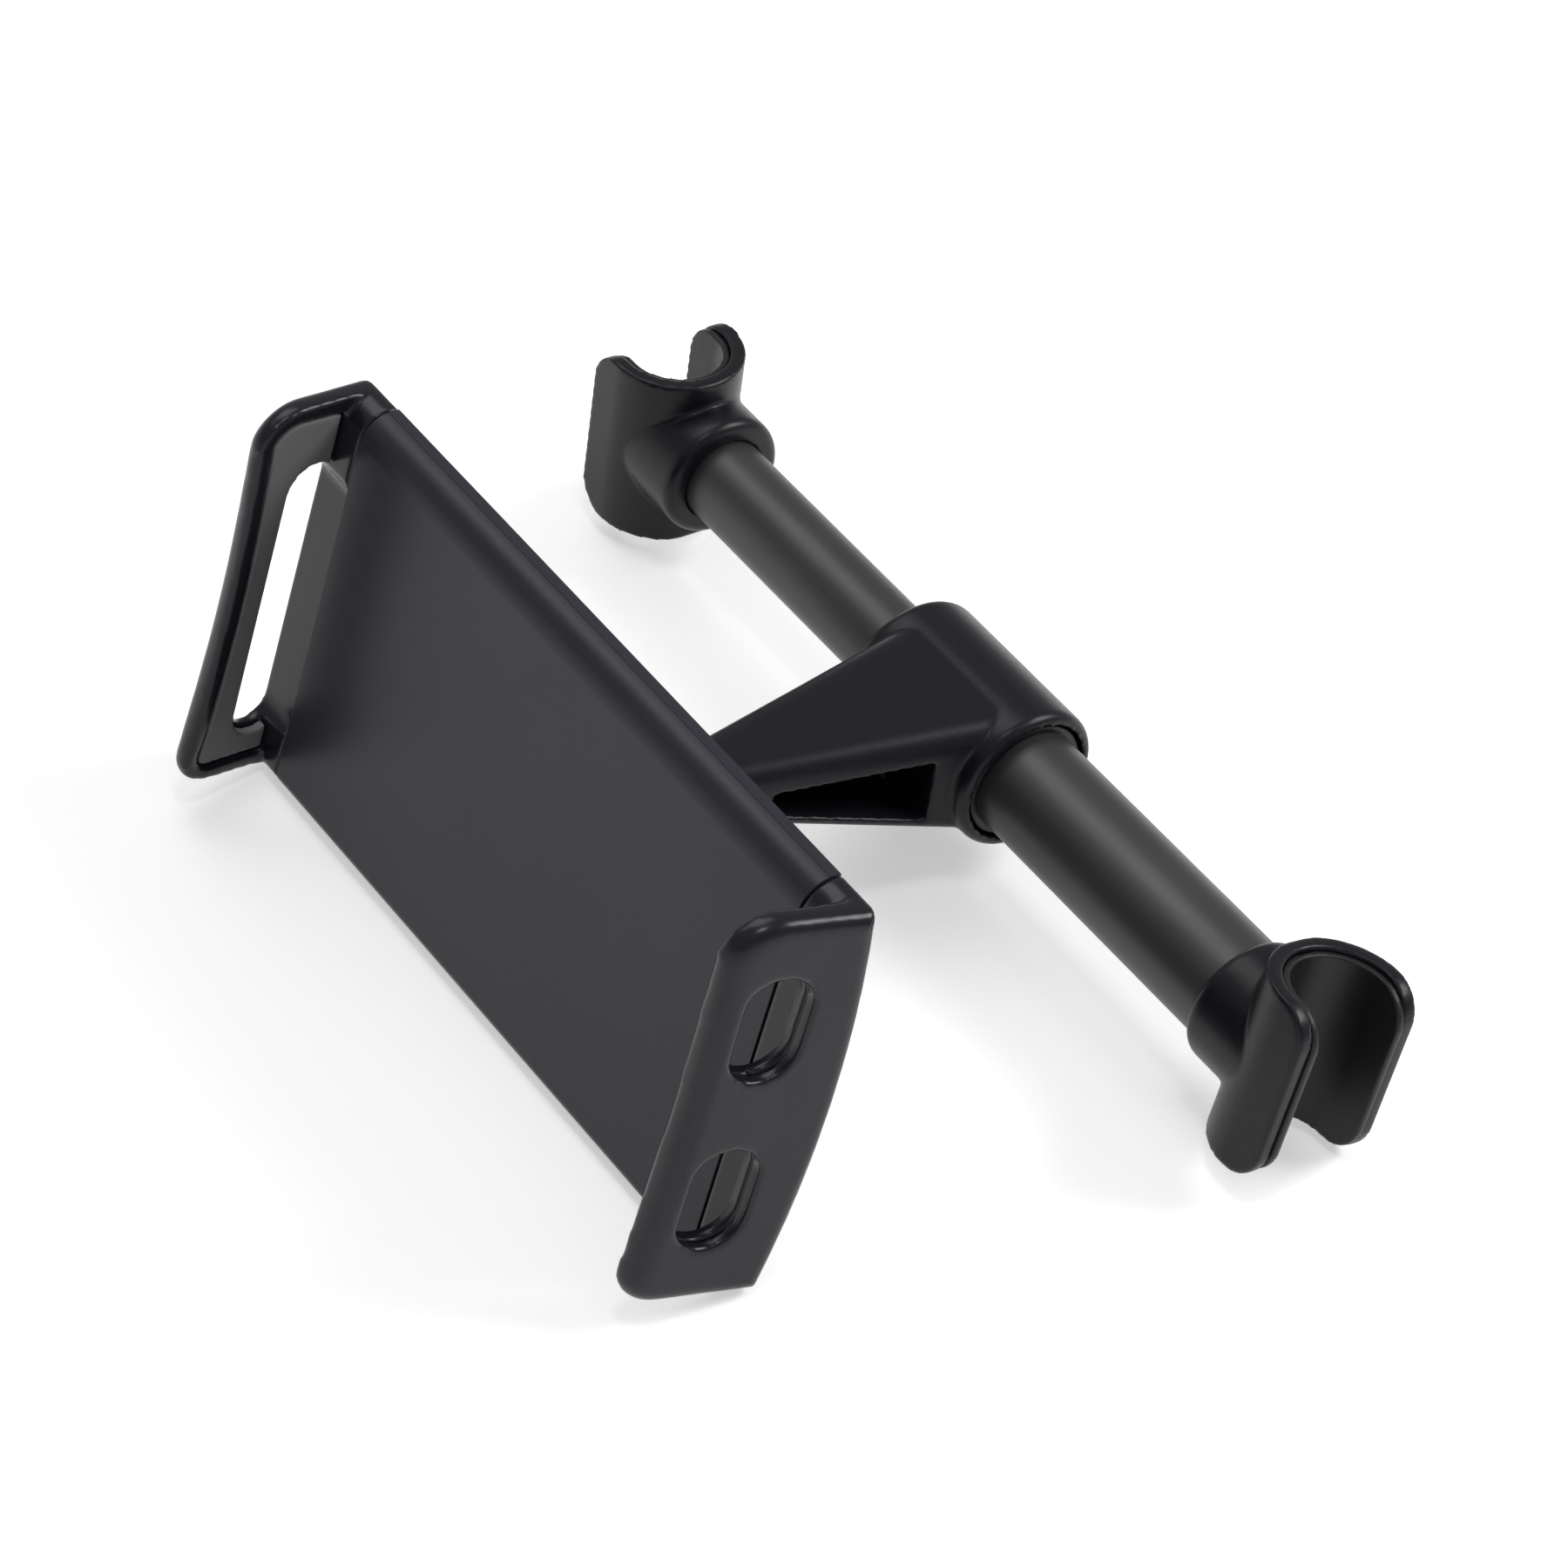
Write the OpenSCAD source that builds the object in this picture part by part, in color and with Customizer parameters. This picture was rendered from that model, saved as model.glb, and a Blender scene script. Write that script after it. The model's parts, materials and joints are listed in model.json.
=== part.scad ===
// Headrest holder for a phone or a small tablet. A sprung telescopic bar stands between the two
// posts of a seat's headrest, an arm swings on the bar, and a ball joint on the arm carries a
// clamping head with two sliding jaws.
// Origin: middle of the bar's axis. X runs along the bar, -Y points at the user, Z runs along
// the headrest posts.

/* [Bar] */
// Distance from the arm's middle to the right headrest post
right_reach = 96.4; // [93:0.2:103]
// Distance from the arm's middle to the left headrest post, bar fully sprung out
left_reach = 94.2; // [93:0.2:103]
// Outside diameter of the fixed outer tube
outer_tube_d = 20; // [19:0.5:22]
// Wall of the outer tube
outer_tube_wall = 1.2; // [1:0.1:1.6]
// Wall of the guide bush between the two tubes
guide_wall = 0.8; // [0.6:0.1:1.2]
// Wall of the sliding inner tube
inner_tube_wall = 1.2; // [0.8:0.1:1.6]
// Distance that the bar can be pushed together
bar_travel = 50; // [30:1:52]
// Distance from the bar's middle to the left mouth of the outer tube
outer_tube_mouth = 14; // [13:0.5:16]
// Length of the guide bush inside the outer tube
guide_l = 12; // [8:0.5:16]

/* [Hooks] */
// Angle by which the left hook and its tube are turned on the bar's axis
left_turn = 9.5; // [-20:0.5:20]
// Inside radius of the rubber liner, which is the largest post radius
post_r = 8.6; // [6:0.2:9]
// Thickness of the rubber liner
liner_t = 1.4; // [1.2:0.1:2]
// Wall of the hook's channel
hook_wall = 2.7; // [2.4:0.1:3.2]
// Height of the hook along the post
hook_h = 34.6; // [28:0.2:40]
// Distance that the hook's middle lies below the bar's axis
hook_drop = 0.3; // [0:0.1:2]
// Distance from the post's axis to the hook's mouth
hook_mouth = 6.5; // [6:0.1:12]
// Corner radius of the hook's ears
ear_r = 6.5; // [4:0.5:6.5]
// Radius of the hook's lower edge under the tube
heel_r = 1.5; // [1:0.5:4]
// Outside diameter of the collar round the tube
collar_d = 24; // [23.5:0.5:28]
// Distance from the post's axis to the collar's face
collar_reach = 19; // [18:0.5:24]
// Depth that the tube sits in the collar
tube_seat = 6; // [5:0.5:8]
// Distance that the liner stands proud of the ears
liner_proud = 0.5; // [0.2:0.1:1]

/* [Arm] */
// Width of the sleeve along the bar
sleeve_w = 36; // [34:1:44]
// Wall of the sleeve
sleeve_wall = 2.1; // [1.8:0.1:3]
// Wall of the bush between tube and sleeve
bush_wall = 1.7; // [1.2:0.1:2.2]
// Distance from the bar's axis to the arm's end face
arm_reach = 58.5; // [54:0.5:70]
// Width of the arm at the sleeve
arm_root_w = 34; // [28:0.5:36]
// Height of the arm's top above the bar's axis, at the sleeve
arm_root_top = 13; // [11:0.5:13.5]
// Depth of the arm's underside below the bar's axis, at the sleeve
arm_root_low = 11; // [9:0.5:12]
// Width of the arm at its end
arm_end_w = 11.6; // [11:0.2:18]
// Height of the arm's top above the ball's centre, at the end
arm_end_top = 3.8; // [3.6:0.1:7]
// Depth of the arm's underside below the ball's centre, at the end
arm_end_low = 5.8; // [4.4:0.1:7]
// Radius of the rolled upper edges
roll_r = 4.6; // [3.5:0.1:5]
// Thickness of the web between the two side pockets
web_t = 3; // [2.5:0.1:5]
// Thickness of the flange under the side pockets
flange_t = 2.2; // [1.8:0.1:3]

/* [Ball joint] */
// Diameter of the ball
ball_d = 17; // [16:0.5:18]
// Diameter of the ball's neck
neck_d = 6; // [5:0.2:6.6]
// Distance from the arm's end face to the ball's centre
neck_l = 12; // [11.5:0.1:14]
// Thickness of the two ball seats
seat_t = 1.8; // [1.4:0.1:2.2]
// Distance from the ball's centre to the crown of the back cover
socket_h = 11.7; // [11.5:0.1:14]
// Outside diameter of the socket's thread
socket_d = 25; // [24.5:0.1:27]
// Outside diameter of the clamp nut
nut_d = 31; // [30:0.5:34]
// Distance from the ball's centre to the nut's front face
nut_front = 6.5; // [6:0.1:7]
// Number of grip ribs round the nut
nut_ribs = 24; // [16:1:30]

/* [Head] */
// Distance between the outer faces of the closed jaws
head_w = 152; // [146:1:170]
// Height of the head
head_h = 76.4; // [70:0.2:90]
// Distance that the head's middle lies below the ball's centre
head_drop = 3.3; // [0:0.1:5]
// Thickness of the head at its upper and lower edges
edge_t = 6.6; // [6.4:0.1:8]
// Height of the crown on the back
crown = 3.3; // [2.8:0.1:5]
// Radius of the front plate's upper edge
top_r = 6; // [3:0.5:6]
// Radius of the front plate's lower edge
low_r = 2; // [1:0.5:4]
// Wall of the two shells
shell_t = 1.6; // [1.2:0.1:1.8]
// Width of the jaw's strip beside the front plate
strip_w = 11; // [9:0.5:14]

/* [Jaws] */
// Distance that each jaw can be pulled out
jaw_travel = 30; // [20:1:32]
// Depth of a jaw in front of the front plate
jaw_depth = 18.5; // [14:0.5:24]
// Distance that the jaws lean inwards for each unit of depth
jaw_lean = 0.155; // [0:0.005:0.2]
// Thickness of the jaw's wall
jaw_wall = 2.4; // [2:0.1:3]
// Width of the lip round the jaw's inner side
lip_w = 3.2; // [2.6:0.1:4]
// Distance from the jaw's outer face to the lip's edge
lip_h = 4.8; // [4.6:0.1:7]
// Radius of the jaw's outer edges
edge_round = 2.4; // [1.5:0.1:3.2]
// Hollow of the jaw's front edge
jaw_hollow = 2.2; // [0.4:0.2:3]
// Radius of the jaw's upper front corner
jaw_top_r = 10; // [5:0.5:10]
// Radius of the jaw's lower front corner
jaw_low_r = 6; // [4:0.5:8]
// Thickness of the grip pad
pad_t = 2; // [1.5:0.1:2.6]
// Width of the openings in the jaws
opening_w = 9.4; // [7:0.2:11]
// Length of the left jaw's opening
opening_l = 55; // [40:1:56]
// Distance that the left jaw's opening lies below the head's middle
opening_drop = 2.8; // [0:0.2:4]
// Width of the right jaw's two slots
slot_w = 12; // [10:0.2:13]
// Length of the right jaw's two slots
slot_l = 20; // [16:0.5:22]
// Distance between the middles of the right jaw's two slots
slot_pitch = 34; // [30:0.2:38]

/* [Mechanism] */
// Size of the rack and pinion teeth
tooth_module = 1; // [1:0.1:1.1]
// Number of teeth on the pinion
pinion_teeth = 16; // [14:2:18]
// Thickness of the racks and of the pinion
rack_t = 3; // [2.4:0.1:3.2]
// Height of a rack behind its teeth
rack_back = 5; // [4:0.2:6]
// Height of a plain guide bar
guide_bar_h = 8; // [6:0.5:8.5]
// Distance from the pinion's axis to the middle of a guide bar
guide_bar_z = 24; // [23:0.5:25]
// Wire of the bar's spring
bar_wire = 1.3; // [1:0.1:1.4]
// Turns of the bar's spring
bar_turns = 9; // [6:1:9]
// Wire of the jaw spring
jaw_wire = 0.7; // [0.5:0.1:0.9]
// Turns of the jaw spring
jaw_turns = 12; // [8:1:14]

/* [Fits] */
// Radial clearance of a running fit
run_gap = 0.08; // [0.05:0.01:0.1]
// Clearance between two rigid pieces that lie side by side
side_gap = 0.3; // [0.2:0.05:0.4]
// Radial clearance of a seat that holds still
seat_gap = 0.02; // [0.01:0.01:0.05]

/* [Hidden] */
$fn = 64;
eps = 0.01;

shell_black = [0.15, 0.15, 0.16];
head_black = [0.22, 0.22, 0.24];
tube_grey = [0.24, 0.24, 0.23];
rubber_black = [0.10, 0.10, 0.10];
pad_grey = [0.30, 0.30, 0.30];
steel = [0.62, 0.63, 0.65];
nylon = [0.75, 0.74, 0.70];

// Bar
outer_bore_d = outer_tube_d - 2 * outer_tube_wall;
inner_tube_d = outer_bore_d - 2 * guide_wall;
inner_bore_d = inner_tube_d - 2 * inner_tube_wall;
right_end = right_reach - collar_reach + tube_seat;
left_end = left_reach - collar_reach + tube_seat;
plug_l = 15;
plug_floor = 3;
guide_flange = 2.5;
guide_flange_d = outer_tube_d + 2.4;
slide_x = guide_l - outer_tube_mouth + side_gap;
slide_flange = 3;
slide_shank = 8;
bar_spring_d = inner_tube_d - 3;
spring_x0 = slide_x + slide_flange + side_gap;
spring_x1 = right_end - plug_l - side_gap;

// Hooks
liner_r = post_r + liner_t;
shell_r = liner_r + hook_wall;
screw_d = 3.6;
screw_head_d = 6.6;
screw_head_t = 1.6;
screw_socket_d = 2.6;
screw_socket_t = 1;
liner_inset = 0.8;
screw_x = -liner_r;
seat_x = tube_seat - collar_reach;

// Arm
bush_d = outer_tube_d + 2 * bush_wall;
sleeve_d = bush_d + 2 * sleeve_wall;
stop_w = 4;
stop_recess = 0.8;
arm_root_y = 2;
low_edge_r = 2;
ball_y = -(arm_reach + neck_l);
stud_thread_d = 4.6;
stud_thread_l = 10;
pocket_root = sleeve_d / 2 + 3.4;
pocket_end = arm_reach - stud_thread_l - 1.6;
roll_skin = 1.2;

// Ball joint
seat_d = ball_d + 2 * seat_t;
seat_inner_near = 4.4;
seat_inner_far = 8;
seat_outer_near = 0.5;
seat_outer_far = 4.9;
nut_wall_d = socket_d + 2 * run_gap;
nut_back = socket_h - 2.4;
nut_mouth_d = 21;
nut_cone_d = 15;
nut_cone_h = 2.2;
socket_bore_d = seat_d + 2 * run_gap;
socket_front = 3.7;

// Head
crown_y = ball_y - socket_h;
face_y = crown_y - crown - edge_t;
edge_y = face_y + edge_t;
head_z = -head_drop;
crown_radius = head_h * head_h / (8 * crown) + crown / 2;
seam_x = head_w / 2 - strip_w;
parting_y = edge_y - 2.2;
plate_x = seam_x - side_gap / 2;
lip_x = head_w / 2 - lip_h;
pad_x = head_w / 2 - jaw_wall;
jaw_front_y = face_y - jaw_depth;
hollow_r = head_h * head_h / (8 * jaw_hollow) + jaw_hollow / 2;
hollow_y = jaw_front_y + jaw_hollow - hollow_r;
front_lean = jaw_lean * (edge_y - jaw_front_y - jaw_hollow / 2);
edge_steps = 4;
block_step = 0.02;
opening_sink = 1.6;
boss_x = 50;
boss_z = 32;
boss_d = 4.4;
cover_screw_d = 2;
cover_head_d = 3.4;
rack_y = face_y + shell_t + side_gap + rack_t / 2;

// Mechanism
pitch_r = tooth_module * pinion_teeth / 2;
tooth_pitch = PI * tooth_module;
addendum = 0.9 * tooth_module;
dedendum = 1.15 * tooth_module;
backlash = 0.3;
rack_tip_z = pitch_r - addendum;
rack_back_z = pitch_r + dedendum + rack_back;
rack_tip_x = jaw_travel + 10;
guide_tip_x = 20;
pin_d = 4;
lug_t = 2;
spring_z = (rack_back_z + guide_bar_z - guide_bar_h / 2) / 2;
spring_post_d = 2.4;
jaw_spring_d = 3;

// Places a drawing made in (y, z) between two stations along the bar
module along_x(x0, x1) {
    translate([x0, 0, 0]) rotate([90, 0, 90]) linear_extrude(x1 - x0) children();
}

// Places a drawing made in (x, z) between two stations in depth
module along_y(y0, y1) {
    translate([0, y1, 0]) rotate([90, 0, 0]) linear_extrude(y1 - y0) children();
}

// Round bar along X
module bar_x(x0, x1, d) {
    translate([x0, 0, 0]) rotate([0, 90, 0]) cylinder(h = x1 - x0, d = d);
}

// Round bar along Y
module bar_y(y0, y1, d) {
    translate([0, y1, 0]) rotate([90, 0, 0]) cylinder(h = y1 - y0, d = d);
}

// Rectangle from corner to corner with one radius on each corner,
// in the order low-low, high-low, high-high, low-high
module rounded_box(a, b, r) {
    difference() {
        translate(a) square(b - a);
        corner_cut(a, [1, 1], r[0]);
        corner_cut([b[0], a[1]], [-1, 1], r[1]);
        corner_cut(b, [-1, -1], r[2]);
        corner_cut([a[0], b[1]], [1, -1], r[3]);
    }
}

// What a corner radius takes away from a square corner at p
module corner_cut(p, side, r) {
    translate(p) scale([side[0], side[1]]) difference() {
        translate([-1, -1]) square(r + 1);
        translate([r, r]) circle(r);
    }
}

// Helical wire along X
module coil(x0, x1, mid_d, wire, turns) {
    sides = 6;
    steps = 14;
    n = turns * steps;
    lead = (x1 - x0 - wire) / turns;
    ring = [for (k = [0:n]) for (j = [0:sides - 1])
        let (a = 360 * k / steps, b = 360 * j / sides,
             r = mid_d / 2 + wire / 2 * cos(b))
        [x0 + wire / 2 + lead * k / steps + wire / 2 * sin(b), r * cos(a), r * sin(a)]];
    walls = [for (k = [0:n - 1]) for (j = [0:sides - 1])
        let (p = k * sides + j, q = k * sides + (j + 1) % sides)
        each [[p, q, q + sides], [p, q + sides, p + sides]]];
    start = [for (j = [sides - 1:-1:0]) j];
    end = [for (j = [0:sides - 1]) n * sides + j];
    polyhedron(points = ring, faces = concat(walls, [start], [end]), convexity = 10);
}

// Fixed tube, whose left mouth holds the guide bush
module outer_tube() {
    color(tube_grey) difference() {
        bar_x(-outer_tube_mouth, right_end, outer_tube_d);
        bar_x(-outer_tube_mouth - 1, right_end + 1, outer_bore_d);
    }
}

// Sliding tube of the left hook
module inner_tube() {
    color(tube_grey) difference() {
        bar_x(-left_end, slide_x, inner_tube_d);
        bar_x(-left_end - 1, slide_x + 1, inner_bore_d);
    }
}

// Flanged bush in the mouth of the outer tube
module guide_bush() {
    color(nylon) difference() {
        union() {
            bar_x(-outer_tube_mouth, guide_l - outer_tube_mouth, outer_bore_d - 2 * seat_gap);
            bar_x(-outer_tube_mouth - guide_flange, -outer_tube_mouth, guide_flange_d);
        }
        bar_x(-outer_tube_mouth - guide_flange - 1, guide_l, inner_tube_d + 2 * run_gap);
    }
}

// Plug on the inner tube's end, which stops on the guide bush and seats the spring
module slide_plug() {
    color(nylon) union() {
        bar_x(slide_x - slide_shank, slide_x + 1, inner_bore_d - 2 * seat_gap);
        bar_x(slide_x + run_gap, slide_x + slide_flange, outer_bore_d - 2 * run_gap);
        bar_x(slide_x + slide_flange, slide_x + 2 * slide_flange, inner_tube_d / 2);
    }
}

// Spring that pushes the two hooks apart
module bar_spring() {
    color(steel) coil(spring_x0, spring_x1, bar_spring_d - bar_wire, bar_wire, bar_turns);
}

// Puts what is drawn about a post's axis at the right or the left post
module at_right() { translate([right_reach, 0, 0]) children(); }
module at_left() {
    mirror([1, 0, 0]) translate([left_reach, 0, 0]) rotate([left_turn, 0, 0]) children();
}

// Plug fixed in a tube's outer end, which takes the hook's screw
module tube_plug(bore_d) {
    color(nylon) difference() {
        bar_x(seat_x - plug_l, seat_x, bore_d - 2 * seat_gap);
        bar_x(seat_x - plug_l + plug_floor, seat_x + 1, screw_d);
    }
}

module tube_plug_right() { at_right() tube_plug(outer_bore_d); }
module tube_plug_left() { at_left() tube_plug(inner_bore_d); }

// Plan of a channel of radius r about the post, open towards +X as far as mouth
module channel_plan(r, mouth) {
    circle(r);
    translate([0, -r]) square([mouth, 2 * r]);
}

// Side view of a hook or liner of height h from x0 to its mouth, in (x, z)
module ear_side(x0, mouth, h, low_r, high_r) {
    rounded_box([x0, -h / 2 - hook_drop], [mouth, h / 2 - hook_drop],
                [low_r, ear_r, ear_r, high_r]);
}

// Hook with its post channel and the collar for a tube of diameter d
module hook(d) {
    color(shell_black) difference() {
        union() {
            intersection() {
                translate([0, 0, -hook_h]) linear_extrude(2 * hook_h)
                    channel_plan(shell_r, hook_mouth);
                along_y(-shell_r, shell_r) ear_side(-shell_r, hook_mouth, hook_h, heel_r, 1);
            }
            translate([-collar_reach, 0, 0]) rotate([0, 90, 0]) collar_body();
        }
        translate([0, 0, -hook_h]) linear_extrude(2 * hook_h)
            channel_plan(liner_r, hook_mouth + 1);
        bar_x(-collar_reach - 1, seat_x, d + 2 * seat_gap);
        bar_x(seat_x - 1, 0, screw_d);
        bar_x(screw_x - screw_head_t, 0, screw_head_d);
    }
}

// Collar with a rounded front rim, turned about Z and reaching back to the channel
module collar_body() {
    rim_r = 2;
    rotate_extrude() rounded_box([0, 0], [collar_d / 2, collar_reach - 2], [0, rim_r, 0, 0]);
}

module hook_right() { at_right() hook(outer_tube_d); }
module hook_left() { at_left() hook(inner_tube_d); }

// Rubber lining of the channel, a little proud of the ears
module hook_liner() {
    mouth = hook_mouth + liner_proud;
    h = hook_h - 2 * liner_inset;
    color(rubber_black) difference() {
        intersection() {
            translate([0, 0, -hook_h]) linear_extrude(2 * hook_h)
                channel_plan(liner_r - seat_gap, mouth);
            along_y(-liner_r, liner_r) ear_side(-liner_r, mouth, h, 0.6, 0.6);
        }
        translate([0, 0, -hook_h]) linear_extrude(2 * hook_h) channel_plan(post_r, mouth + 1);
    }
}

module hook_liner_right() { at_right() hook_liner(); }
module hook_liner_left() { at_left() hook_liner(); }

// Screw from the bottom of the channel into the tube's plug
module hook_screw() {
    head_x = screw_x - screw_head_t;
    color(steel) difference() {
        union() {
            bar_x(head_x, screw_x - 0.1, screw_head_d - 2 * seat_gap);
            bar_x(seat_x - plug_l + plug_floor + 1, head_x, screw_d - 2 * seat_gap);
        }
        translate([screw_x - screw_socket_t, 0, 0]) rotate([0, 90, 0])
            cylinder(h = 2 * screw_socket_t, d = screw_socket_d, $fn = 6);
    }
}

module hook_screw_right() { at_right() hook_screw(); }
module hook_screw_left() { at_left() hook_screw(); }

// Straight taper between the arm's two ends, at distance y from the bar's axis
function taper(root, end, y) = root + (end - root) * (y - arm_root_y) / (arm_reach - arm_root_y);

// One end of the arm: four rounded edges
module arm_section(y, w, top, low) {
    for (s = [-1, 1]) {
        translate([s * (w / 2 - roll_r), -y, top - roll_r]) rotate([90, 0, 0])
            cylinder(h = eps, r = roll_r, $fn = 32);
        translate([s * (w / 2 - low_edge_r), -y, low_edge_r - low]) rotate([90, 0, 0])
            cylinder(h = eps, r = low_edge_r, $fn = 32);
    }
}

// Side view of one pocket, in (y, z)
module pocket_side() {
    top_at = function(y) taper(arm_root_top, arm_end_top, y) - roll_r - roll_skin;
    low_at = function(y) flange_t - taper(arm_root_low, arm_end_low, y);
    polygon([[-pocket_root - 1, top_at(pocket_root)], [-pocket_root + 0.4, low_at(pocket_root)],
             [-pocket_end, low_at(pocket_end)], [-pocket_end, top_at(pocket_end)]]);
}

// Sleeve and tapering arm in one moulding, with a pocket in each side
module hub_arm() {
    rim_r = 2;
    color(shell_black) difference() {
        union() {
            hull() {
                arm_section(arm_root_y, arm_root_w, arm_root_top, arm_root_low);
                arm_section(arm_reach - eps, arm_end_w, arm_end_top, arm_end_low);
            }
            translate([-sleeve_w / 2, 0, 0]) rotate([0, 90, 0]) rotate_extrude()
                rounded_box([0, 0], [sleeve_d / 2, sleeve_w], [0, rim_r, rim_r, 0]);
        }
        bar_x(-sleeve_w, sleeve_w, bush_d + 2 * seat_gap);
        for (s = [0, 1]) mirror([s, 0, 0]) along_x(web_t / 2, arm_root_w) pocket_side();
        bar_y(-arm_reach - 1, stud_thread_l - arm_reach, stud_thread_d + 2 * seat_gap);
    }
}

// Bush on which the sleeve swings round the outer tube
module hub_bush() {
    color(nylon) difference() {
        bar_x(side_gap - outer_tube_mouth, sleeve_w / 2 - stop_w - side_gap, bush_d);
        bar_x(-sleeve_w, sleeve_w, outer_tube_d + 2 * run_gap);
    }
}

// Ring fixed on the tube, which keeps the sleeve in its place
module hub_stop_ring() {
    ring_w = stop_w - stop_recess;
    color(shell_black) translate([sleeve_w / 2 - stop_w, 0, 0]) rotate([0, 90, 0])
        rotate_extrude() rounded_box([outer_tube_d / 2 + seat_gap, 0],
                                     [bush_d / 2 - side_gap, ring_w], [0, 0, 0.6, 0]);
}

// Ball with its neck and the threaded end that holds in the arm
module ball_stud() {
    color(steel) union() {
        translate([0, ball_y, 0]) sphere(d = ball_d);
        bar_y(ball_y, -arm_reach, neck_d);
        bar_y(-arm_reach - 1.6, -arm_reach, 8.4);
        bar_y(-arm_reach - eps, stud_thread_l - arm_reach - 0.5, stud_thread_d);
    }
}

// Ring round the ball, from d0 to d1 away from its centre towards the head
module seat_ring(d0, d1) {
    translate([0, ball_y, 0]) rotate([90, 0, 0]) rotate_extrude() difference() {
        intersection() {
            circle(d = seat_d);
            translate([0, d0]) square([seat_d, d1 - d0]);
        }
        circle(d = ball_d + 2 * run_gap);
        translate([-seat_d, -seat_d]) square([seat_d, 2 * seat_d]);
    }
}

// Seat ring on the head's side of the ball, low enough to follow a full tilt
module ball_seat_inner() {
    color(nylon) seat_ring(seat_inner_near, seat_inner_far);
}

// Seat ring on the arm's side of the ball, pressed by the nut
module ball_seat_outer() {
    color(nylon) seat_ring(-seat_outer_far, -seat_outer_near);
}

// Ribbed ring that closes the socket on the ball
module clamp_nut() {
    rib_d = 1.8;
    color(shell_black) translate([0, ball_y, 0]) rotate([90, 0, 0]) difference() {
        union() {
            rotate_extrude()
                rounded_box([0, -nut_front], [nut_d / 2 - rib_d / 3, nut_back], [0, 2, 1, 0]);
            for (i = [0:nut_ribs - 1]) rotate([0, 0, i * 360 / nut_ribs])
                translate([nut_d / 2 - rib_d / 2, 0, -nut_front + 2.4])
                    cylinder(h = nut_front + nut_back - 4, d = rib_d, $fn = 16);
        }
        translate([0, 0, -socket_front - side_gap])
            cylinder(h = nut_back + socket_front + 1, d = nut_wall_d);
        rotate_extrude() intersection() {
            circle(d = socket_bore_d);
            translate([0, -nut_front]) square([nut_d, 2 * nut_front]);
        }
        translate([0, 0, -nut_front - eps])
            cylinder(h = nut_cone_h, d1 = nut_mouth_d, d2 = nut_cone_d);
    }
}

// Section of the closed head, in (y, z), drawn inwards by inset
module head_section(inset) {
    h = head_h / 2 - inset;
    intersection() {
        rounded_box([face_y + inset, head_z - h], [crown_y - inset, head_z + h],
                    [max(low_r - inset, 0.2), 0.6, 0.6, max(top_r - inset, 0.2)]);
        translate([crown_y - crown_radius, head_z]) circle(crown_radius - inset, $fn = 360);
    }
}

// Places things at the four cover screws
module at_bosses() {
    for (x = [-boss_x, boss_x]) for (z = [-boss_z, boss_z])
        translate([x, 0, head_z + z]) children();
}

// Depth of the crowned back at a height z from the head's middle
function back_at(z) = crown_y - crown_radius + sqrt(crown_radius * crown_radius - z * z);

// Rear shell with the ball socket, the pinion's pin and the screw holes
module back_cover() {
    pin_y0 = face_y + shell_t + side_gap;
    color(head_black) difference() {
        union() {
            difference() {
                along_x(-plate_x, plate_x) intersection() {
                    head_section(0);
                    translate([parting_y + side_gap / 2, head_z - head_h]) square(2 * head_h);
                }
                along_x(-plate_x + shell_t, plate_x - shell_t) head_section(shell_t);
                bar_windows();
                half_turn() bar_windows();
            }
            bar_y(crown_y - shell_t - 0.4, ball_y + socket_front, socket_d);
            translate([0, 0, head_z]) bar_y(pin_y0, crown_y - shell_t / 2, pin_d);
            translate([guide_tip_x, 0, head_z - spring_z])
                bar_y(pin_y0, back_at(spring_z) - shell_t / 2, spring_post_d);
            at_bosses() bar_y(parting_y + side_gap / 2, back_at(boss_z) - shell_t / 2, boss_d);
        }
        translate([0, ball_y, 0]) rotate([90, 0, 0]) socket_bore();
        at_bosses() bar_y(face_y, edge_y + 2, cover_screw_d + 2 * seat_gap);
        at_bosses() bar_y(edge_y - 0.9, edge_y + 2, cover_head_d + 2 * seat_gap);
    }
}

// Cavity for the ball seats, open towards the arm
module socket_bore() {
    rotate_extrude() intersection() {
        union() {
            circle(d = socket_bore_d);
            translate([0, -socket_bore_d]) square([socket_bore_d / 2, socket_bore_d]);
        }
        translate([0, -socket_bore_d]) square(2 * socket_bore_d);
    }
}

// Windows in the right end wall through which the bars of the right jaw run
module bar_windows() {
    along_x(plate_x - shell_t - 1, plate_x + 1) {
        window_side((rack_tip_z + rack_back_z) / -2, rack_back_z - rack_tip_z);
        window_side(guide_bar_z, guide_bar_h);
    }
}

// Section of the window for a bar of height h, in (y, z), about a height z from the pinion
module window_side(z, h) {
    t = rack_t + 2 * side_gap;
    w = h + 2 * side_gap;
    translate([rack_y - t / 2, head_z + z - w / 2]) square([t, w]);
}

// Half a turn about the pinion, which takes the right jaw's bars to the left jaw's
module half_turn() {
    translate([0, 0, head_z]) rotate([0, 180, 0]) translate([0, 0, -head_z]) children();
}

// Front shell with the rolled upper edge
module front_plate() {
    color(head_black) difference() {
        union() {
            difference() {
                along_x(-plate_x, plate_x) intersection() {
                    head_section(0);
                    translate([face_y - 1, head_z - head_h])
                        square([parting_y - side_gap / 2 - face_y + 1, 2 * head_h]);
                }
                along_x(-plate_x + shell_t, plate_x - shell_t) head_section(shell_t);
                bar_windows();
                half_turn() bar_windows();
            }
            at_bosses() bar_y(face_y + shell_t / 2, parting_y - side_gap / 2, boss_d);
        }
        at_bosses() bar_y(face_y + 0.9, edge_y, cover_screw_d);
    }
}

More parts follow.
